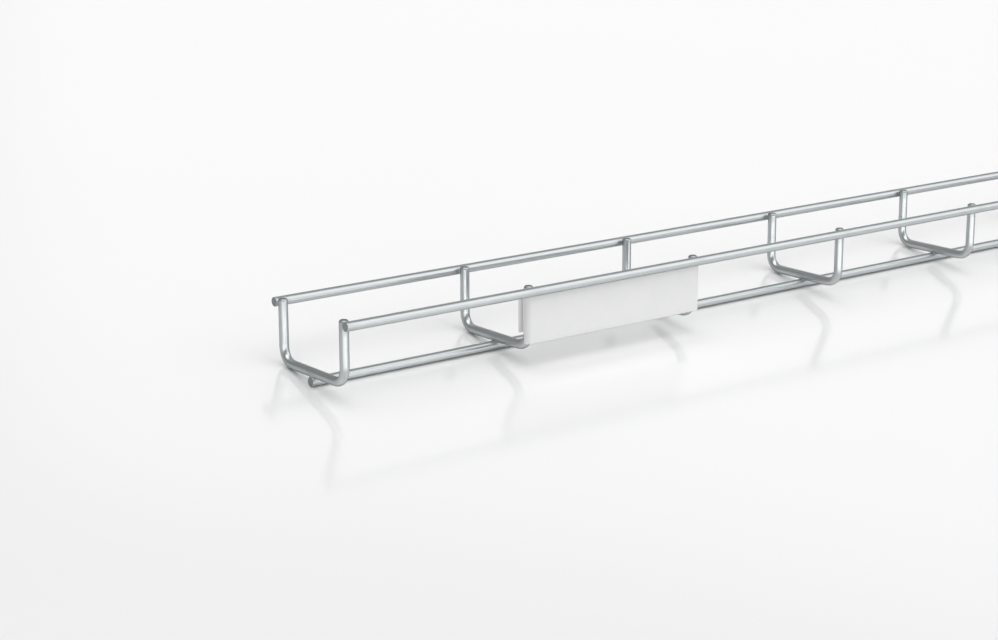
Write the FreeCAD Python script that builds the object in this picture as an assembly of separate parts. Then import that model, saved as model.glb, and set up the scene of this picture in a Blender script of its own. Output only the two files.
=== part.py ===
import FreeCAD, Part
import math
import os
from FreeCAD import Vector

# Wire mesh cable basket: bent cross wires welded to two top rails and one bottom wire,
# with a folded label round two of its uprights. It runs along X, its width is along Y
# and the floor is at Z = 0. It can't balance on its one bottom wire, so it is placed as
# it comes to rest, leaning back on that wire and on the bends of its back side.
# All sizes are in millimetres.

# Wire: every wire has the same drawn diameter, made here with flat sides.
wire_diameter = 4.3
wire_sides = 16

# Cross wires, each one length of wire bent to a U.
cross_wire_count = 16
mesh_pitch = 100.0
upright_spacing = 48.0
bend_radius = 7.0
bend_steps = 8
upright_end_chamfer = 0.9

# Long wires. A weld sink is how far two crossing wires are pressed into each other.
rail_height = 26.75
rail_weld_sink = 0.12
bottom_weld_sink = 0.5
long_end_chamfer = 0.3

# Label: a thin sleeve folded round two neighbouring uprights of the front side.
label_first_wire = 2
label_thickness = 0.4
label_wire_clearance = 0.15
label_rail_clearance = 0.3
label_front_bottom = 2.1
label_flange_reach = 3.8

# Rest. The bottom wire carries the basket, and the back bends come this near the floor.
bend_floor_clearance = 0.15

# Sizes that follow from the ones above.
wire_radius = wire_diameter / 2
wire_corner_radius = wire_radius / math.cos(math.pi / wire_sides)
base_height = wire_diameter - bottom_weld_sink + wire_radius
rail_offset = upright_spacing / 2 + wire_diameter - rail_weld_sink
upright_top = rail_height + wire_radius
first_wire_x = -mesh_pitch * (cross_wire_count - 1) / 2
tray_length = mesh_pitch * (cross_wire_count - 1) + wire_diameter

# The lean that brings the back bends down to the floor, where their centre stands this
# much higher than the bottom wire's axis.
bend_centre_out = upright_spacing / 2 - bend_radius
bend_centre_up = wire_diameter - bottom_weld_sink + bend_radius
centre_distance = math.hypot(bend_centre_out, bend_centre_up)
leaning_rise = bend_radius + bend_floor_clearance
lean_angle = math.atan2(bend_centre_up, bend_centre_out) - math.asin(leaning_rise / centre_distance)

along_x = Vector(1, 0, 0)
along_y = Vector(0, 1, 0)
along_z = Vector(0, 0, 1)


def wire_section(centre, side, up):
    """Closed outline of a wire's section, with flats that face side and up."""
    corners = []
    for index in range(wire_sides + 1):
        angle = math.pi / wire_sides * (2 * index + 1)
        across = side * (wire_corner_radius * math.cos(angle))
        rise = up * (wire_corner_radius * math.sin(angle))
        corners.append(centre + across + rise)
    return Part.makePolygon(corners)


def chamfer_ends(solid, axis, chamfer):
    """Break the edges of the two end faces that face along an axis."""
    ends = [face for face in solid.Faces if abs(face.normalAt(0, 0).dot(axis)) > 0.999]
    ends.sort(key=lambda face: face.CenterOfMass.dot(axis))
    edges = ends[0].Edges + ends[-1].Edges
    return solid.makeChamfer(chamfer, edges)


def straight_wire(y, z, start, length):
    """A wire along X whose axis is at y and z above the base wires' axis."""
    section = wire_section(Vector(start, y, base_height + z), along_y, along_z)
    return Part.Face(section).extrude(along_x * length)


def long_wire(y, z):
    """A wire that runs the tray's whole length and ends flush with the end cross wires."""
    wire = straight_wire(y, z, -tray_length / 2, tray_length)
    return chamfer_ends(wire, along_x, long_end_chamfer)


def long_wire_places():
    """Where the three long wires lie: y, and z above the base wires' axis."""
    return {
        "top_rail_front": (-rail_offset, rail_height),
        "top_rail_back": (rail_offset, rail_height),
        "bottom_wire": (0.0, bottom_weld_sink - wire_diameter),
    }


def bend_points(side):
    """Points down one bend, from its upright to the base, on the side given by -1 or 1."""
    centre = Vector(0, side * (upright_spacing / 2 - bend_radius), base_height + bend_radius)
    points = []
    for step in range(bend_steps + 1):
        angle = math.pi / 2 * step / bend_steps
        out = along_y * (side * bend_radius * math.cos(angle))
        down = along_z * (bend_radius * math.sin(angle))
        points.append(centre + out - down)
    return points


def chamfer_tops(wire):
    """Break the edges of the two flat tops of a bent wire."""
    top = wire.BoundBox.ZMax
    tops = [face for face in wire.Faces if abs(face.CenterOfMass.z - top) < 1e-6]
    edges = [edge for face in tops for edge in face.Edges]
    return wire.makeChamfer(upright_end_chamfer, edges)


def cross_wire():
    """One U of wire at X = 0, with shallow weld seats for the three long wires."""
    top_front = Vector(0, -upright_spacing / 2, base_height + upright_top)
    top_back = Vector(0, upright_spacing / 2, base_height + upright_top)
    path = [top_front] + bend_points(-1) + bend_points(1)[::-1] + [top_back]
    section = wire_section(top_front, along_x, along_y)
    mitred_corners = 1
    wire = Part.makePolygon(path).makePipeShell([section], True, False, mitred_corners)
    wire = chamfer_tops(wire)
    for y, z in long_wire_places().values():
        wire = wire.cut(straight_wire(y, z, -wire_diameter, 2 * wire_diameter))
    return wire.Solids[0]


def slot_outline(first_x, last_x, y, z, radius):
    """A slot with round ends about two uprights, as a closed outline at height z."""
    first = Vector(first_x, y, z)
    last = Vector(last_x, y, z)
    front = along_y * -radius
    back = along_y * radius
    return Part.Wire([
        Part.LineSegment(first + front, last + front).toShape(),
        Part.Arc(last + front, last + along_x * radius, last + back).toShape(),
        Part.LineSegment(last + back, first + back).toShape(),
        Part.Arc(first + back, first - along_x * radius, first + front).toShape(),
    ])


def label_sleeve():
    """The folded label: a front leaf, round ends and a shorter back leaf with two flanges."""
    first_x = first_wire_x + mesh_pitch * (label_first_wire - 1)
    last_x = first_x + mesh_pitch
    upright_y = -upright_spacing / 2
    front_z = base_height + label_front_bottom
    back_z = base_height + bend_radius
    top_z = base_height + rail_height - wire_radius - label_rail_clearance
    inner_radius = wire_radius + label_wire_clearance
    outer_radius = inner_radius + label_thickness

    outer = slot_outline(first_x, last_x, upright_y, front_z, outer_radius)
    inner = slot_outline(first_x, last_x, upright_y, front_z, inner_radius)
    sleeve = Part.Face(outer).cut(Part.Face(inner)).extrude(along_z * (top_z - front_z))

    flange_length = mesh_pitch + 2 * label_flange_reach
    flange_start = Vector(first_x - label_flange_reach, upright_y + inner_radius, front_z)
    flanges = Part.makeBox(flange_length, label_thickness, top_z - front_z, flange_start)

    below_start = Vector(first_x - mesh_pitch / 2, upright_y, front_z)
    below_back = Part.makeBox(2 * mesh_pitch, mesh_pitch, back_z - front_z, below_start)
    return sleeve.fuse(flanges).cut(below_back).removeSplitter().Solids[0]


def upright_pieces():
    """Every piece of the basket, placed with its base level."""
    pieces = {}
    for name, (y, z) in long_wire_places().items():
        pieces[name] = long_wire(y, z)
    one_cross_wire = cross_wire()
    for index in range(cross_wire_count):
        place = along_x * (first_wire_x + mesh_pitch * index)
        pieces["cross_wire_%02d" % (index + 1)] = one_cross_wire.translated(place)
    pieces["label_sleeve"] = label_sleeve()
    return pieces


def at_rest(pieces):
    """The pieces leaning back on the floor, with the middle of their box over the origin."""
    leaning = {}
    for name, shape in pieces.items():
        leaning[name] = shape.rotated(Vector(), along_x, -math.degrees(lean_angle))
    box = Part.makeCompound(list(leaning.values())).BoundBox
    to_origin = Vector(0, -box.Center.y, -box.ZMin)
    return {name: shape.translated(to_origin) for name, shape in leaning.items()}, to_origin


def main():
    os.makedirs("parts", exist_ok=True)
    pieces, moved = at_rest(upright_pieces())
    for name, shape in pieces.items():
        shape.exportStep("parts/%s.step" % name)
    box = Part.makeCompound(list(pieces.values())).BoundBox
    print(len(pieces), "pieces; upright", round(tray_length, 2), "long,",
          round(2 * (rail_offset + wire_radius), 2), "wide,", round(base_height + upright_top, 2), "high;")
    print("leaning back", round(math.degrees(lean_angle), 3), "degrees, moved", moved)
    print("at rest", round(box.XLength, 2), round(box.YLength, 2), round(box.ZLength, 2))


main()
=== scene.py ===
# %% [markdown]
# # A wire mesh cable basket
# The basket is a light trough that carries cables. Sixteen wires are bent to a U and
# welded to three long wires: a rail outside each row of uprights and one wire below.
# A folded film label sits round two of the uprights.
#
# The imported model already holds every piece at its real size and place. This lesson
# reads those places and gives each piece the shape and finish that a close look needs.

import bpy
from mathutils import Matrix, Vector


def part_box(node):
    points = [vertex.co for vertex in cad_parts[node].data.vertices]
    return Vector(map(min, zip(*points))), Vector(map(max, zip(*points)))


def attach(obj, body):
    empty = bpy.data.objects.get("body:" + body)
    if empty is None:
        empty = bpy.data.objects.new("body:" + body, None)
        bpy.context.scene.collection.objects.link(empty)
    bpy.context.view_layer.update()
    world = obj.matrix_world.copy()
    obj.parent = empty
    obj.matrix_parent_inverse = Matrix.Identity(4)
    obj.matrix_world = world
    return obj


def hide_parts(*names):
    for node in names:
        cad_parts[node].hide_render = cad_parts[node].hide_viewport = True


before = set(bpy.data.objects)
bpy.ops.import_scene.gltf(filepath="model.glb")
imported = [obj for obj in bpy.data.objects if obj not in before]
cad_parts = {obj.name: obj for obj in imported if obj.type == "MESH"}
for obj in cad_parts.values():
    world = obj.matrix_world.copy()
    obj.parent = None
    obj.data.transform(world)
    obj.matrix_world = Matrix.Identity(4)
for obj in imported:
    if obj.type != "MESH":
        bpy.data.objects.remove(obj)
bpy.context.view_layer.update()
print("packed pieces:", len(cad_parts))

# %% [markdown]
# ## Tools
# Blender's own modules make the meshes and the finishes. The wires have many thousands of
# points, so the sums for them are done on whole arrays of points.

# %% Import the tools
import math

import bmesh
import bpy
import numpy as np
from mathutils import Matrix, Vector, noise

print("Blender", bpy.app.version_string)

# %% [markdown]
# ## Where the basket stands
# One wire along the bottom can't balance the basket, so it leans back until its bends
# come down to the floor. A bent wire is easier to describe in the basket's own upright
# frame: x along the basket, y across it, z up its sides, from the bottom wire's axis.
#
# The lean could be copied as a number. It is measured instead, from the line between
# the two rails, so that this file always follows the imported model.

# %% Measure the lean
def middle(node):
    """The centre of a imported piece's box."""
    low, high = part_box(node)
    return (low + high) / 2


across = middle("top_rail_back") - middle("top_rail_front")
lean = math.atan2(-across.z, across.y)
to_floor = Matrix.Translation(middle("bottom_wire")) @ Matrix.Rotation(-lean, 4, "X")
to_basket = to_floor.inverted()
print("the basket leans back by", round(math.degrees(lean), 2), "degrees")

# %% [markdown]
# ## Sizes read from the pieces
# The wires' thickness, the width between the uprights, the rails' height and the places
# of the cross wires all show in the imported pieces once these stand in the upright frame.

# %% Read the sizes
def basket_box(node):
    """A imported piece's lowest and highest corners in the basket's upright frame."""
    points = np.array([to_basket @ vertex.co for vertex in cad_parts[node].data.vertices])
    return points.min(0), points.max(0)


cross_nodes = sorted(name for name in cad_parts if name.startswith("cross_wire"))
bottom_low, bottom_high = basket_box("bottom_wire")
wire_radius = (bottom_high[2] - bottom_low[2]) / 2
half_length = bottom_high[0]
first_low, first_high = basket_box(cross_nodes[0])
base_height = first_low[2] + wire_radius
upright_top = first_high[2]
upright_offset = first_high[1] - wire_radius
cross_places = [sum(box[0] for box in basket_box(node)) / 2 for node in cross_nodes]
rail_places = {}
for rail in ("top_rail_front", "top_rail_back"):
    place = to_basket @ middle(rail)
    rail_places[rail] = (place.y, place.z)
print("wire", round(2000 * wire_radius, 2), "mm thick")
print("uprights", round(2000 * upright_offset, 2), "mm apart")
print("rails at", rail_places)

# %% [markdown]
# ## A wire as rings
# A wire could be a curve with a round bevel. Rings of points that follow a path are used
# here instead, because the rings can crowd together at the welds and at the cut ends,
# where the shape changes within a millimetre, and stay far apart on the plain runs.
#
# Each ring has a place along the path, a radius and a tilt. The tilt says which way the
# surface faces: 0 is straight out from the wire, 90 degrees is out of the end. The edge
# of a cut end is rounded, less on the long wires than on the sheared tops.

# %% Rings of a cut end
quarter = math.pi / 2
long_end_edge = 0.0003
upright_end_edge = 0.0011
edge_steps = 5
face_ring_share = 0.55


def end_rings(edge):
    """(distance from the end, radius, tilt) from the middle of a flat end round its edge."""
    flat = wire_radius - edge
    rings = [(0.0, flat * face_ring_share, quarter)]
    for step in range(edge_steps + 1):
        tilt = quarter * (1 - step / edge_steps)
        rings.append((edge * (1 - math.sin(tilt)), flat + edge * math.cos(tilt), tilt))
    return rings


print("rings on a cut end:", len(end_rings(long_end_edge)))

# %% [markdown]
# ## Where the rings go
# A plain run needs few rings. A bend needs more, a weld needs many, and the stain that
# fades out on both sides of a weld needs some. These busy stretches are listed, each with
# its own spacing, and merged with the wide spacing of plain wire.

# %% Spacing of the rings
plain_spacing = 0.006
weld_spacing = 0.0002
weld_reach = 0.0040
stain_spacing = 0.0008
stain_reach = 0.0090
place_slack = 1e-9


def round_a_weld(place):
    """The busy stretches round a weld's middle, as (low, high, spacing)."""
    return [(place - reach, place + reach, spacing)
            for reach, spacing in ((weld_reach, weld_spacing), (stain_reach, stain_spacing))]


def ring_places(start, end, busy):
    """Places from start to end, close together in the busy stretches."""
    places = [start]
    while places[-1] < end:
        here = places[-1]
        step = plain_spacing
        for low, high, spacing in busy:
            if low - place_slack <= here < high:
                step = min(step, spacing)
            elif here < low:
                step = min(step, low - here)
        places.append(here + step)
    places[-1] = end
    return np.array(places)


print("rings over one weld:", len(ring_places(-stain_reach, stain_reach, round_a_weld(0))))

# %% [markdown]
# ## Weld fillets
# Each crossing is a resistance weld: the wires are pressed together hot, and a little
# metal is squeezed out into the corner between them. Two round wires that only cross
# would look like a computer model, so the corner is filled.
#
# The fill is a smooth blend of two distances. Each point near a weld moves straight out
# until the blended distance to both wires is zero, and no further than half way round
# the corner, so that each wire carries its own half of the fillet. Half way round, this
# blend is a quarter of its width high.

# %% Blend two wires at a weld
weld_blend = 0.0011
lump_share = 0.45
lump_scale = 900.0
halving_steps = 14


def gap_to(points, on_axis, direction):
    """Distance from points to the surface of a straight wire through on_axis."""
    return np.linalg.norm(np.cross(points - on_axis, direction), axis=1) - wire_radius


def fillet_height(points, outward, on_axis, direction):
    """How far each point moves out to lie on the fillet towards the crossing wire."""
    lumps = np.array([noise.noise(Vector(point) * lump_scale) for point in points])
    blend = weld_blend * (1 + lump_share * lumps)

    def blended(height):
        other = gap_to(points + outward * height[:, None], on_axis, direction)
        closeness = np.clip(blend - np.abs(height - other), 0, None) / blend
        return np.minimum(height, other) - closeness ** 2 * blend / 4

    low = np.zeros(len(points))
    high = blend / 4
    inside = blended(high) < 0
    for _ in range(halving_steps):
        half = (low + high) / 2
        outer = blended(half) > 0
        high = np.where(outer, half, high)
        low = np.where(outer, low, half)
    return np.where(inside, blend / 4, low)


print("a fillet is at most", round(1000 * weld_blend * (1 + lump_share) / 4, 2), "mm proud")

# %% [markdown]
# ## Rings of a whole wire
# A wire is one cut end, its body and the other cut end. Its path says, for any distance
# along it, where its middle is, which way it runs and how thin the bend has pulled it.
# The rings are laid on that path.

# %% Lay the rings on a path
points_round = 40
turn_round = np.linspace(0, 2 * math.pi, points_round, endpoint=False)


def wire_rings(busy, half, edge):
    """Place, radius and tilt of every ring, from one cut end to the other."""
    ends = end_rings(edge)
    body = ring_places(-half + edge, half - edge, busy)[1:-1]
    along = [-half + gap for gap, _, _ in ends] + list(body) + [half - gap for gap, _, _ in ends[::-1]]
    radius = [r for _, r, _ in ends] + [wire_radius] * len(body) + [r for _, r, _ in ends[::-1]]
    tilt = [-t for _, _, t in ends] + [0.0] * len(body) + [t for _, _, t in ends[::-1]]
    return np.array(along), np.array(radius), np.array(tilt)


def ring_points(path, side, along, radius, tilt):
    """The points of the rings, and the way that each point faces."""
    centre, forward, narrowing = path(along)
    up = np.cross(forward, side)
    sideways = np.cos(turn_round)[None, :, None] * np.array(side)
    upward = np.sin(turn_round)[None, :, None] * up[:, None, :]
    spread = radius[:, None, None]
    points = centre[:, None, :] + spread * (sideways + upward * narrowing[:, None, None])
    lean_out = tilt[:, None, None]
    outward = np.cos(lean_out) * (sideways + upward) + np.sin(lean_out) * forward[:, None, :]
    return points.reshape(-1, 3), outward.reshape(-1, 3)


print("points round each ring:", points_round)

# %% [markdown]
# ## Weld the rings
# Near each crossing the points move out onto the fillet. The heat of the weld also leaves
# a stain, 1 at the weld and 0 a few millimetres away. At the basket's ends the fillets
# are trimmed flush, as they are where the real lengths butt together.

# %% Add the welds to a wire
weld_stain_fade = 0.0022


def add_welds(points, outward, crossings):
    """Move points out onto the weld fillets, and return how stained each point is."""
    stain = np.zeros(len(points))
    for on_axis, direction, spot in crossings(points):
        near = np.linalg.norm(points - spot, axis=1) < weld_reach + wire_radius
        height = fillet_height(points[near], outward[near], on_axis[near], direction)
        points[near] += outward[near] * height[:, None]
        distance = np.linalg.norm(points - spot, axis=1) - wire_radius
        stain = np.maximum(stain, np.exp(-(np.clip(distance, 0, None) / weld_stain_fade) ** 2))
    points[:, 0] = np.clip(points[:, 0], -half_length, half_length)
    return stain


print("a stain fades over about", round(2000 * weld_stain_fade, 1), "mm")

# %% [markdown]
# ## From rings to a mesh
# The rings are joined into one closed mesh with a fan of triangles on each cut end. Three
# attributes go with it for the finish. "drawn" unrolls the wire, with the distance along
# it in x and the place round it in y and z. "weld" is the stain, and "cut" is 1 on the
# cut faces at the ends.

# %% Join the rings
def wire_faces(ring_count):
    """Four-sided faces between the rings, and a fan round each of the two last points."""
    ring = np.arange(points_round)
    following = np.roll(ring, -1)
    faces = []
    for index in range(ring_count - 1):
        low, high = index * points_round, (index + 1) * points_round
        faces += np.stack([low + ring, low + following, high + following, high + ring], 1).tolist()
    first_pole, last_pole = ring_count * points_round, ring_count * points_round + 1
    last_ring = (ring_count - 1) * points_round
    faces += [[first_pole, int(b), int(a)] for a, b in zip(ring, following)]
    faces += [[last_pole, int(last_ring + a), int(last_ring + b)] for a, b in zip(ring, following)]
    return faces


def wire_mesh(name, points, faces, drawn, stain, cut):
    """The mesh of a swept wire, placed as the basket stands."""
    poles = [points[:points_round].mean(0), points[-points_round:].mean(0)]
    mesh = bpy.data.meshes.new(name)
    mesh.from_pydata([to_floor @ Vector(point) for point in np.vstack([points, poles])], [], faces)
    drawn = np.vstack([drawn, drawn[:1], drawn[-1:]])
    mesh.attributes.new("drawn", "FLOAT_VECTOR", "POINT").data.foreach_set("vector", drawn.ravel())
    mesh.attributes.new("weld", "FLOAT", "POINT").data.foreach_set("value", np.append(stain, [0, 0]))
    mesh.attributes.new("cut", "FLOAT", "POINT").data.foreach_set("value", np.append(cut, [1, 1]))
    mesh.shade_smooth()
    shell = bmesh.new()
    shell.from_mesh(mesh)
    bmesh.ops.recalc_face_normals(shell, faces=shell.faces)
    shell.to_mesh(mesh)
    shell.free()
    return mesh


print("a wire of two rings has", len(wire_faces(2)), "faces")

# %% [markdown]
# ## Sweep and place
# One call now makes a wire. Its start in the unrolled "drawn" space is its own, so that
# no two wires show the same marks. A finished piece rides on the basket's one body and
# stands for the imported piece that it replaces.

# %% Sweep a wire and place it
def sweep(name, path, side, busy, half, edge, crossings, drawn_start):
    """A closed wire mesh. crossings gives, for points, the axis of the wire that crosses there."""
    along, radius, tilt = wire_rings(busy, half, edge)
    points, outward = ring_points(path, side, along, radius, tilt)
    stain = add_welds(points, outward, crossings)
    cut = np.repeat(np.abs(np.sin(tilt)) ** 2, points_round)
    drawn = np.empty((len(along), points_round, 3))
    drawn[:, :, 0] = along[:, None] + drawn_start
    drawn[:, :, 1] = wire_radius * np.cos(turn_round)
    drawn[:, :, 2] = wire_radius * np.sin(turn_round)
    return wire_mesh(name, points, wire_faces(len(along)), drawn.reshape(-1, 3), stain, cut)


def place_piece(mesh, name, nodes):
    """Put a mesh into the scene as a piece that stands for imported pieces."""
    piece = bpy.data.objects.new(name, mesh)
    bpy.context.scene.collection.objects.link(piece)
    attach(piece, "root")
    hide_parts(*nodes)
    return piece


print("wires to sweep:", len(cross_nodes) + len(rail_places) + 1)

# %% [markdown]
# ## The long wires
# Two rails and the bottom wire are straightened wire, cropped square. Their ends are
# flush with the end cross wires, with a fine broken edge from deburring.
#
# Each is welded to all the cross wires. The nearest cross wire is found by rounding, so
# one sum serves every weld along the wire.

# %% Paths of the long wires
pitch = cross_places[1] - cross_places[0]
upright_direction = np.array([0.0, 0.0, 1.0])
base_direction = np.array([0.0, 1.0, 0.0])
long_direction = np.array([1.0, 0.0, 0.0])


def long_path(y, z):
    """The straight path of a long wire at y and z."""
    def path(along):
        centre = np.stack([along, np.full_like(along, y), np.full_like(along, z)], 1)
        return centre, np.tile(long_direction, (len(along), 1)), np.ones(len(along))
    return path


def cross_wire_near(wire_y, wire_z, axis_y, axis_z, direction):
    """The cross wire that each point of a long wire is nearest to, and the weld's middle."""
    def crossings(points):
        steps = np.round((points[:, 0] - cross_places[0]) / pitch)
        x = cross_places[0] + pitch * np.clip(steps, 0, len(cross_places) - 1)
        on_axis = np.stack([x, np.full_like(x, axis_y), np.full_like(x, axis_z)], 1)
        spot = np.stack([x, np.full_like(x, wire_y), np.full_like(x, wire_z)], 1)
        return [(on_axis, direction, (on_axis + spot) / 2)]
    return crossings


print("welds on each long wire:", len(cross_places), "at every", round(1000 * pitch, 1), "mm")

# %% [markdown]
# Each long wire is listed with its own place, the place of the wires that cross it and
# the way that those run.

# %% Make the long wires
long_drawn_gap = 2.0

long_wires = {name: (y, z, math.copysign(upright_offset, y), z, upright_direction)
              for name, (y, z) in rail_places.items()}
long_wires["bottom_wire"] = (0.0, 0.0, 0.0, base_height, base_direction)
weld_stretches = [stretch for x in cross_places for stretch in round_a_weld(x)]
long_pieces = []
for index, (name, (y, z, axis_y, axis_z, direction)) in enumerate(long_wires.items()):
    nearest = cross_wire_near(y, z, axis_y, axis_z, direction)
    mesh = sweep(name, long_path(y, z), (0, 1, 0), weld_stretches, half_length, long_end_edge,
                 nearest, long_drawn_gap * index)
    long_pieces.append(place_piece(mesh, name + "_drawn", [name]))
    print(name, len(mesh.polygons), "faces")

# %% [markdown]
# ## The cross wires
# Each cross wire is one length of wire bent twice round a small former. The spring in
# the wire eases the bend in and out, so it is not a plain quarter circle, and a cold
# bend pulls the wire a little thinner across it.
#
# The eased bend is walked in small steps that turn faster and then slower. One length
# of it is walked first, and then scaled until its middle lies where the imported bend's
# middle does.

# %% Shape of a bend
bend_radius = 0.007
bend_narrowing = 0.035
bend_steps = 2000
bend_shares = np.linspace(0, 1, bend_steps + 1)


def turned(share):
    """The angle turned after a share of the bend's length."""
    share = np.clip(share, 0, 1)
    return quarter * share ** 2 * (3 - 2 * share)


def walk(slopes):
    """The running sum of slopes along the bend."""
    middles = (slopes[1:] + slopes[:-1]) / 2
    return np.append(0, np.cumsum(middles)) / (len(slopes) - 1)


bend_out = walk(np.cos(turned(bend_shares)))
bend_up = walk(np.sin(turned(bend_shares)))
half_way = len(bend_shares) // 2
corner_gap = math.hypot(bend_out[-1] - bend_out[half_way], bend_up[half_way])
bend_length = bend_radius * (math.sqrt(2) - 1) / corner_gap
bend_reach = bend_length * bend_out[-1]
print("each bend takes", round(1000 * bend_length, 1), "mm of wire")

# %% [markdown]
# The path is measured from the middle of the base, so both sides come from one formula.

# %% Path of a bent wire
base_half = upright_offset - bend_reach
u_half = base_half + bend_length + upright_top - base_height - bend_reach


def u_path(x):
    """The U of a cross wire at x, for distances from the middle of its base."""
    def path(along):
        away = np.abs(along)
        sign = np.sign(along)
        share = (away - base_half) / bend_length
        turn = turned(share)
        rise = np.clip(away - base_half - bend_length, 0, None)
        y = sign * (np.minimum(away, base_half) + bend_length * np.interp(share, bend_shares, bend_out))
        z = base_height + bend_length * np.interp(share, bend_shares, bend_up) + rise
        centre = np.stack([np.full_like(y, x), y, z], 1)
        forward = np.stack([np.zeros_like(y), np.cos(turn), sign * np.sin(turn)], 1)
        return centre, forward, 1 - bend_narrowing * np.sin(2 * turn)
    return path


print("each cross wire is cut", round(2000 * u_half, 1), "mm long")

# %% [markdown]
# A cross wire is welded in three places: to the two rails near its tops, and to the
# bottom wire in the middle of its base. Its cut tops have a rounder edge than the long
# wires, because the shears drag the metal over.

# %% Make the cross wires
rings_a_bend = 24
cross_drawn_gap = 0.5
weld_from_middle = u_half - (upright_top - rail_places["top_rail_front"][1])


def long_wires_near(x):
    """The three long wires that cross the wire at x, with the middle of each weld."""
    def crossings(points):
        found = []
        for y, z in rail_places.values():
            spot = np.array([x, (y + math.copysign(upright_offset, y)) / 2, z])
            found.append((np.tile([x, y, z], (len(points), 1)), long_direction, spot))
        spot = np.array([x, 0.0, base_height / 2])
        found.append((np.tile([x, 0.0, 0.0], (len(points), 1)), long_direction, spot))
        return found
    return crossings


busy_stretches = [(-base_half - bend_length, -base_half, bend_length / rings_a_bend),
                  (base_half, base_half + bend_length, bend_length / rings_a_bend)]
for place in (-weld_from_middle, 0, weld_from_middle):
    busy_stretches += round_a_weld(place)
drawn_start = long_drawn_gap * len(long_wires)
cross_pieces = []
for index, (node, x) in enumerate(zip(cross_nodes, cross_places)):
    mesh = sweep(node, u_path(x), (1, 0, 0), busy_stretches, u_half, upright_end_edge,
                 long_wires_near(x), drawn_start + cross_drawn_gap * index)
    cross_pieces.append(place_piece(mesh, node + "_bent", [node]))
print(len(cross_pieces), "cross wires of", len(mesh.polygons), "faces each")

# %% [markdown]
# ## The label
# The label is a strip of thin stiff film folded round two neighbouring uprights. Its
# front leaf is taller than its back leaf, because the back leaf stops above the bends,
# and the glued seam leaves a narrow flange past each upright.
#
# Seen from above, the film is cut at the middle of the uprights into a front part and a
# back part. Each is a plain outline that is raised to its own heights, and the two share
# their points along the cut.

# %% Sizes of the film
film = 0.0004
film_gap = 0.00015
rail_clearance = 0.0003
front_leaf_bottom = 0.0021
flange_reach = 0.0038
arc_steps = 10
leaf_steps = 48
left_x, right_x = cross_places[1:3]
label_y = -upright_offset
inner = wire_radius + film_gap
outer = inner + film
top_z = rail_places["top_rail_front"][1] - wire_radius - rail_clearance
front_z = base_height + front_leaf_bottom
back_z = base_height + bend_radius
flange_start = math.asin(inner / outer)
print("label", round(1000 * (right_x - left_x + 2 * flange_reach), 1), "mm wide and",
      round(1000 * (top_z - front_z), 1), "mm high")

# %% [markdown]
# The outlines run round the film's edge: along one side of the leaf, round a fold, and
# back along the other side. Angles round an upright are counted from +X, so that minus a
# quarter turn is the front.

# %% Outlines of the film
def arc(x, radius, start, end):
    """Points round an upright at x, from the start angle to the end angle."""
    angles = np.linspace(start, end, arc_steps + 1)
    return [(x + radius * math.cos(a), label_y + radius * math.sin(a)) for a in angles]


def run(start_x, end_x, y):
    """Points along a leaf between its two ends, without the ends themselves."""
    return [(x, y) for x in np.linspace(start_x, end_x, leaf_steps + 1)[1:-1]]


def front_outline():
    """The front leaf and the front half of both folds, seen from above."""
    return (arc(left_x, outer, -2 * quarter, -quarter) + run(left_x, right_x, label_y - outer)
            + arc(right_x, outer, -quarter, 0) + arc(right_x, inner, 0, -quarter)
            + run(right_x, left_x, label_y - inner) + arc(left_x, inner, -quarter, -2 * quarter))


def back_outline():
    """The back leaf, its two flanges and the back half of both folds, seen from above."""
    low, high = label_y + inner, label_y + outer
    return (arc(right_x, outer, 0, flange_start)
            + [(right_x + flange_reach, low), (right_x + flange_reach, high)]
            + run(right_x, left_x, high)
            + [(left_x - flange_reach, high), (left_x - flange_reach, low)]
            + arc(left_x, outer, 2 * quarter - flange_start, 2 * quarter)
            + arc(left_x, inner, 2 * quarter, quarter) + run(left_x, right_x, low)
            + arc(right_x, inner, quarter, 0))


print("points round the front part:", len(front_outline()), "and the back part:", len(back_outline()))

# %% [markdown]
# Both parts are raised in rows, and the walls inside the cut are left out, so that the
# two parts close into one film.

# %% Raise the film
row_height = 0.0025
same_place = 1e-7


def rows(low, high):
    """Heights from low to high, with a row at the back leaf's lower edge."""
    lower = np.linspace(low, back_z, max(1, round((back_z - low) / row_height)), endpoint=False)
    upper = np.linspace(back_z, high, round((high - back_z) / row_height) + 1)
    return list(lower if low < back_z else []) + list(upper)


def raise_outline(film_mesh, outline, heights):
    """Walls and two flat ends over an outline. Walls inside the cut are left out."""
    grid = [[film_mesh.verts.new((x, y, z)) for x, y in outline] for z in heights]
    count = len(outline)
    for low, high in zip(grid, grid[1:]):
        for here in range(count):
            after = (here + 1) % count
            on_cut = all(abs(low[i].co.y - label_y) < same_place for i in (here, after))
            if not (on_cut and low[here].co.z > back_z - same_place):
                film_mesh.faces.new((low[here], low[after], high[after], high[here]))
    film_mesh.faces.new(grid[0][::-1])
    film_mesh.faces.new(grid[-1])


film_mesh = bmesh.new()
raise_outline(film_mesh, front_outline(), rows(front_z, top_z))
raise_outline(film_mesh, back_outline(), rows(back_z, top_z))
bmesh.ops.remove_doubles(film_mesh, verts=film_mesh.verts, dist=same_place)
bmesh.ops.recalc_face_normals(film_mesh, faces=film_mesh.faces)
print("film before its edges are rounded:", len(film_mesh.faces), "faces")

# %% [markdown]
# The edges of a film are never quite sharp, so each gets a small round. The front leaf
# also sinks back by a hair between its two wires, unevenly, which moves its reflections
# as on a real film.

# %% Round the edges and place the label
film_edge = 0.00009
film_edge_steps = 3
round_profile = 0.5
sharp_turn = math.radians(50)
crease_turn = math.radians(38)
leaf_bow = 0.00005
ripple_share = 0.4
ripple_waves = 1.5


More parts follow.
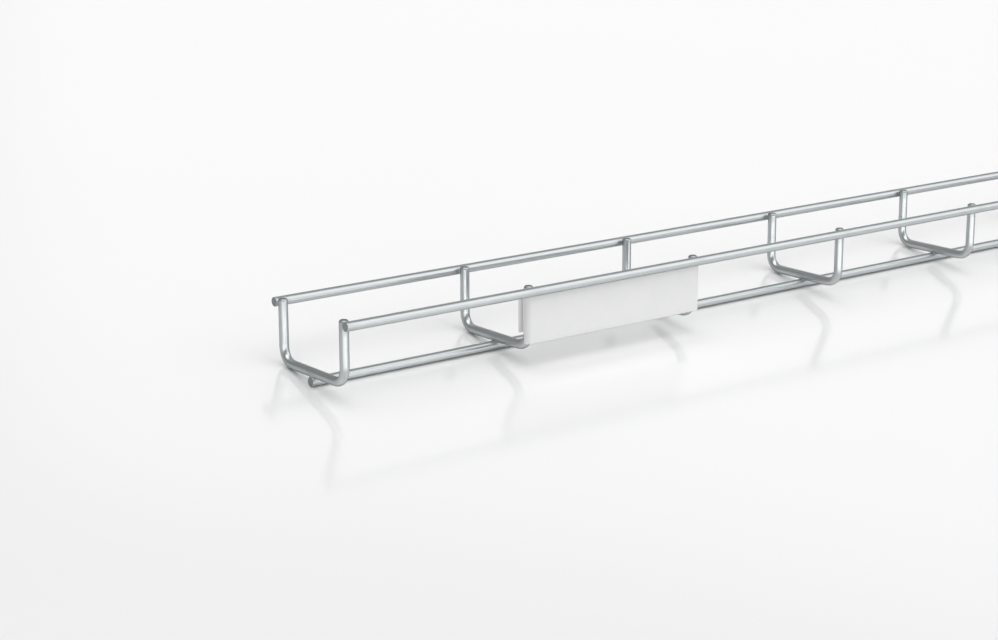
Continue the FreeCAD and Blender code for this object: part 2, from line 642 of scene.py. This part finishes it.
def bow(x, z):
    """How far the front leaf sinks back, none at its folds."""
    share = (x - left_x) / (right_x - left_x)
    phase = ripple_waves * share + (z - front_z) / (2 * (top_z - front_z))
    ripple = 1 - ripple_share + ripple_share * math.sin(2 * math.pi * phase)
    return leaf_bow * ripple * math.sin(math.pi * share) ** 2


edges = [edge for edge in film_mesh.edges if edge.calc_face_angle(0) > sharp_turn]
bmesh.ops.bevel(film_mesh, geom=edges, offset=film_edge, segments=film_edge_steps, affect="EDGES",
                profile=round_profile, clamp_overlap=True)
for vertex in film_mesh.verts:
    if vertex.co.y < label_y and left_x < vertex.co.x < right_x:
        vertex.co.y += bow(vertex.co.x, vertex.co.z)
open_edges = sum(1 for edge in film_mesh.edges if not edge.is_manifold)
bmesh.ops.transform(film_mesh, matrix=to_floor, verts=film_mesh.verts)
label_mesh = bpy.data.meshes.new("label_film")
film_mesh.to_mesh(label_mesh)
film_mesh.free()
label_mesh.shade_smooth()
label_mesh.set_sharp_from_angle(angle=crease_turn)
label_piece = place_piece(label_mesh, "label_film", ["label_sleeve"])
print("label faces:", len(label_mesh.polygons), "open edges:", open_edges)

# %% [markdown]
# ## Shader maths as sums
# A finish is a small network of nodes. Written out node by node it is long and hard to
# read, so this class wraps a socket, and ordinary sums with it add Math nodes.

# %% Sums of sockets
class Signal:
    """The value on one socket, for use in sums."""

    def __init__(self, nodes, socket):
        self.nodes = nodes
        self.socket = socket

    def combine(self, operation, first, second):
        return self.nodes.add("Math", {"operation": operation}, {0: first, 1: second})

    def __add__(self, other):
        return self.combine("ADD", self, other)

    def __radd__(self, other):
        return self.combine("ADD", other, self)

    def __mul__(self, other):
        return self.combine("MULTIPLY", self, other)

    def __rmul__(self, other):
        return self.combine("MULTIPLY", other, self)


print("sums that a socket knows: + and *")

# %% [markdown]
# One method makes any node from its type, its settings and its inputs. The nodes that
# come up again and again have short methods that call it.

# %% Helpers for finishes
class Nodes:
    """The nodes of a material or world."""

    def __init__(self, owner):
        owner.use_nodes = True
        self.tree = owner.node_tree
        self.tree.nodes.clear()

    def add(self, kind, settings=None, inputs=None, output=0):
        """A node's output, from the node's type, settings and socket values or links."""
        node = self.tree.nodes.new("ShaderNode" + kind)
        for name, value in (settings or {}).items():
            setattr(node, name, value)
        for name, value in (inputs or {}).items():
            if isinstance(value, Signal):
                self.tree.links.new(value.socket, node.inputs[name])
            else:
                node.inputs[name].default_value = value
        return Signal(self, node.outputs[output]) if node.outputs else node

    def stretch(self, vector, scale):
        """A vector with each part multiplied."""
        return self.add("VectorMath", {"operation": "MULTIPLY"}, {0: vector, 1: scale})

    def ease(self, value, start, full):
        """0 at start, 1 at full, and smooth between them. Either may be the larger."""
        return self.add("MapRange", {"interpolation_type": "SMOOTHSTEP"},
                        {"Value": value, "From Min": start, "From Max": full})

    def marks(self, vector, scale, detail, roughness):
        """Soft random marks round 0.5. A larger scale makes them finer."""
        return self.add("TexNoise", None, {"Vector": vector, "Scale": scale, "Detail": detail,
                                           "Roughness": roughness})

    def mix_colours(self, share, first, second):
        """The first colour where share is 0, and the second where it is 1."""
        return self.add("Mix", {"data_type": "RGBA"}, {0: share, 6: first, 7: second}, output=2)


print("short methods: stretch, ease, marks and mix_colours")

# %% [markdown]
# ## Bright zinc wire
# The wire was drawn through dies, which leaves fine lines along it, and the finished
# basket was plated with bright zinc, a cool silver that is a little cloudy. Welds take
# the plating dull, and the sheared ends are rougher. The cut ends' colour is also made
# darker, as painted shade for the dark reflection that their end faces show.
#
# The "drawn" attribute stretches the noise along each wire, round its bends too, which
# a noise in space could not do. Metal turns darker just inside its outline, and that is
# the shader's edge tint.

# %% Colours and marks of the zinc
zinc_light = (0.526, 0.551, 0.556, 1)
zinc_cloudy = (0.506, 0.531, 0.536, 1)
zinc_weld = (0.443, 0.466, 0.47, 1)
# The cut ends' colour is painted shade: darker than the plating, for the dark reflection that the end
# faces show.
cut_end_painted_shade = (0.295, 0.316, 0.32, 1)
zinc_edge = (0.42, 0.452, 0.46, 1)
line_stretch = (0.012, 1, 1)
cloud_stretch = (0.35, 1, 1)
# Each kind of mark: the scale, detail and roughness of its noise.
line_marks = (5200.0, 3.0, 0.55)
cloud_marks = (420.0, 4.0, 0.6)
grain_marks = (2600.0, 2.0, 0.5)
cloudy_from, cloudy_to = 0.38, 0.66
print("drawing lines are", round(1 / line_stretch[0]), "times as long as they are wide")

# %% [markdown]
# Clouds and lines together choose between the two plated colours. Welds take their own
# stained colour, and cut ends a darker colour that is painted shade, more of each where the
# grain is high. Each of these also makes the metal a little rougher, because dull plating
# and sheared faces spread what they reflect.
#
# The plain wire is smooth enough for crisp highlights. It is no smoother, because a
# sharper mirror turns mottled when the render is cleaned of noise.

# %% Make the zinc
cloud_weight, line_weight = 0.6, 0.4
# The cut ends' share is the least share of their painted shade colour, more where the grain is high.
weld_least, cut_shade_least, by_grain = 0.35, 0.7, 0.5
zinc_roughness = 0.28
rougher_cloudy, rougher_lines, rougher_weld, rougher_cut = 0.02, 0.01, 0.14, 0.08
line_relief = 0.35
zinc_bump = 0.05
relief_depth = 0.00003


def zinc_finish():
    """The plated wire's material."""
    material = bpy.data.materials.new("bright_zinc")
    zinc = Nodes(material)
    drawn = zinc.add("Attribute", {"attribute_name": "drawn"}, output="Vector")
    weld = zinc.add("Attribute", {"attribute_name": "weld"}, output="Fac")
    cut = zinc.add("Attribute", {"attribute_name": "cut"}, output="Fac")
    lines = zinc.marks(zinc.stretch(drawn, line_stretch), *line_marks)
    clouds = zinc.marks(zinc.stretch(drawn, cloud_stretch), *cloud_marks)
    grain = zinc.marks(drawn, *grain_marks)
    cloudy = zinc.ease(cloud_weight * clouds + line_weight * lines, cloudy_from, cloudy_to)
    colour = zinc.mix_colours(cloudy, zinc_light, zinc_cloudy)
    colour = zinc.mix_colours(weld * (weld_least + by_grain * grain), colour, zinc_weld)
    # Cut ends take the painted shade colour. Their extra roughness below is the real dull shear.
    colour = zinc.mix_colours(cut * (cut_shade_least + by_grain * grain), colour, cut_end_painted_shade)
    roughness = (zinc_roughness + rougher_cloudy * cloudy + rougher_lines * lines
                 + rougher_weld * weld + rougher_cut * cut)
    relief = line_relief * lines + (weld + cut) * grain
    bump = zinc.add("Bump", None, {"Strength": zinc_bump, "Distance": relief_depth, "Height": relief})
    surface = zinc.add("BsdfPrincipled", None, {
        "Base Color": colour, "Metallic": 1.0, "Roughness": roughness,
        "Specular Tint": zinc_edge, "Normal": bump})
    zinc.add("OutputMaterial", None, {"Surface": surface})
    return material


zinc_material = zinc_finish()
for piece in long_pieces + cross_pieces:
    piece.data.materials.append(zinc_material)
print("zinc nodes:", len(zinc_material.node_tree.nodes))

# %% [markdown]
# ## Label film
# The film is a pale grey plastic with a fine satin skin. It is left bare. A faint
# mottle in the colour and a low uneven skin keep it from looking like flat paint.

# %% Make the film
film_light = (0.76, 0.76, 0.76, 1)
film_dark = (0.745, 0.747, 0.75, 1)
mottle_marks = (120.0, 4.0, 0.5)
mottle_from, mottle_to = 0.35, 0.7
skin_marks = (2400.0, 2.0, 0.5)
skin_bump = 0.25
film_roughness = 0.52
rougher_skin = 0.1
film_gloss = 0.35


def film_finish():
    """The label's material."""
    material = bpy.data.materials.new("label_film")
    satin = Nodes(material)
    place = satin.add("TexCoord", None, None, output="Object")
    mottle = satin.marks(place, *mottle_marks)
    skin = satin.marks(place, *skin_marks)
    colour = satin.mix_colours(satin.ease(mottle, mottle_from, mottle_to), film_light, film_dark)
    bump = satin.add("Bump", None, {"Strength": skin_bump, "Distance": relief_depth, "Height": skin})
    surface = satin.add("BsdfPrincipled", None, {
        "Base Color": colour, "Roughness": film_roughness + rougher_skin * skin,
        "Specular IOR Level": film_gloss, "Normal": bump})
    satin.add("OutputMaterial", None, {"Surface": surface})
    return material


film_material = film_finish()
label_piece.data.materials.append(film_material)
print("film nodes:", len(film_material.node_tree.nodes))

# %% [markdown]
# ## Floor
# The floor is a pale gloss board, far wider than any view. Its own soft gloss shows a
# blurred reflection of the basket, and it takes the soft shadow.

# %% Lay the floor
floor_size = 40.0
floor_white = (0.875, 0.875, 0.875, 1)
floor_roughness = 0.14
floor_gloss = 1.85

bpy.ops.mesh.primitive_plane_add(size=floor_size, location=(0, 0, 0))
floor = bpy.context.object
floor.name = "floor"
board_material = bpy.data.materials.new("pale_board")
board = Nodes(board_material)
surface = board.add("BsdfPrincipled", None, {"Base Color": floor_white, "Roughness": floor_roughness,
                                             "IOR": floor_gloss})
board.add("OutputMaterial", None, {"Surface": surface})
floor.data.materials.append(board_material)
print("floor", floor_size, "m wide")

# %% [markdown]
# ## Camera
# The photograph's view was worked out from the straight wires and the even pitch of the
# cross wires. It is written here in the basket's upright frame, as a place beside the
# first cross wire and three angles, and then leans with the basket.

# %% Place the camera
camera_place = Vector((-0.504342, -0.785952, 0.261869))
camera_turn = math.radians(37.632)
camera_tilt = math.radians(14.365)
camera_roll = math.radians(-0.170)
focal_pixels = 2219.259
image_width = 998

view_from = Matrix.Translation(camera_place + Vector((cross_places[0], 0, base_height)))
view_turn = (Matrix.Rotation(-camera_turn, 4, "Z") @ Matrix.Rotation(quarter - camera_tilt, 4, "X")
             @ Matrix.Rotation(camera_roll, 4, "Z"))
camera_data = bpy.data.cameras.new("camera")
camera_data.lens = camera_data.sensor_width * focal_pixels / image_width
camera_data.clip_start = 0.01
camera = bpy.data.objects.new("camera", camera_data)
bpy.context.scene.collection.objects.link(camera)
camera.matrix_world = to_floor @ view_from @ view_turn
bpy.context.scene.camera = camera
print("camera at", [round(x, 3) for x in camera.matrix_world.translation])
print("lens", round(camera_data.lens, 1), "mm")

# %% [markdown]
# ## Light
# A plain soft studio. Round metal shows its surroundings, so what draws each wire is a
# slow change from dark to bright. The walls are dim, a long low light stands behind the
# camera, a round one hangs high on the right, and the ceiling glows.
#
# A pale card stands at the far side. The floor's gloss mirrors it all round the basket,
# so that the blurred reflections of the wires and the label show darker in front of it.
#
# Lamps could do this too. A world that is brighter in some directions is softer, and
# leaves no lamp's outline in the wires.

# %% Directions in the studio
def towards(bearing, height):
    """A direction from its bearing, clockwise from +Y, and its height above the floor."""
    turn, rise = math.radians(bearing), math.radians(height)
    return Vector((math.sin(turn) * math.cos(rise), math.cos(turn) * math.cos(rise), math.sin(rise)))


world = bpy.data.worlds.new("studio")
bpy.context.scene.world = world
studio = Nodes(world)
outlook = studio.add("TexCoord", None, None, output="Generated")
outlook_height = studio.add("SeparateXYZ", None, {"Vector": outlook}, output="Z")


def facing(direction):
    """The cosine of the angle between the outlook and a direction."""
    return studio.add("VectorMath", {"operation": "DOT_PRODUCT"}, {0: outlook, 1: direction},
                      output="Value")


print("a light at bearing 90 and height 0 lies towards", [round(x) for x in towards(90, 0)])

# %% [markdown]
# Each light is a glow round one direction, with a soft edge. The two low lights also end
# at a height, so that only the lower part of the walls glows. All the glows are added to
# the dim walls.

# %% Set the light
dim_wall = 0.37
# Bearing and height in degrees, strength, and the cosines of the angles from the light's
# middle where the glow starts and where it is full.
round_lights = {
    "right hand": (127, 40, 1.27, 0.72, 0.97),
    "ceiling": (-90, 80, 2.0, 0.78, 0.98),
}
# The same five values, then the sines of the heights where the glow ends and up to where
# it is full.
low_lights = {
    "camera side": (-160, 0, 2.9, 0.42, 0.80, 0.24, 0.06),
    "far side card": (44, 16, 0.67, 0.92, 0.965, 0.51, 0.45),
}

level = dim_wall
for name, (bearing, height, strength, start, full) in round_lights.items():
    level = level + strength * studio.ease(facing(towards(bearing, height)), start, full)
    print("round light:", name)
for name, (bearing, height, strength, start, full, end, full_up_to) in low_lights.items():
    low = studio.ease(outlook_height, end, full_up_to)
    level = level + strength * low * studio.ease(facing(towards(bearing, height)), start, full)
    print("low light:", name)
background = studio.add("Background", None, {"Color": (1, 1, 1, 1), "Strength": level})
studio.add("OutputWorld", None, {"Surface": background})

bpy.context.scene.view_settings.view_transform = "Standard"
